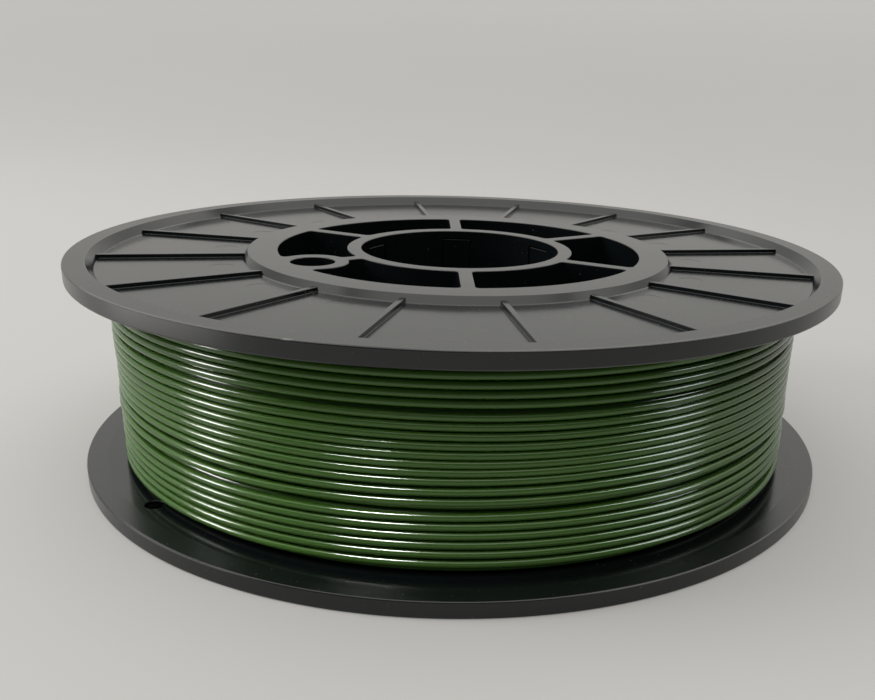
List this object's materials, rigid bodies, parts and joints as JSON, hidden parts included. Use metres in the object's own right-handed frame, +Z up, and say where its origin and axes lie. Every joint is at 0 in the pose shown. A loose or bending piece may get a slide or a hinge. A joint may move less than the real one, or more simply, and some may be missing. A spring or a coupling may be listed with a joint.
{
  "type": "filament spool",
  "caption": "Full spool of round plastic filament: ribbed flanges snapped on a spoked hub, strand wound between them.",
  "frame": {"origin": "on the spool's axis, at the underside of the lower rim", "axes": "+Z up along the spool's axis; -Y is the side that faces the viewer"},
  "size_m": [0.2, 0.2, 0.0554],
  "materials": {
    "black_plastic": "satin moulded black plastic",
    "green_filament": "glossy dark olive green extruded plastic"
  },
  "bodies": {
    "root": {"upper_flange": "black_plastic", "lower_flange": "black_plastic", "hub_core": "black_plastic", "wound_filament": "green_filament", "filament_end": "green_filament"}
  },
  "joints": []
}
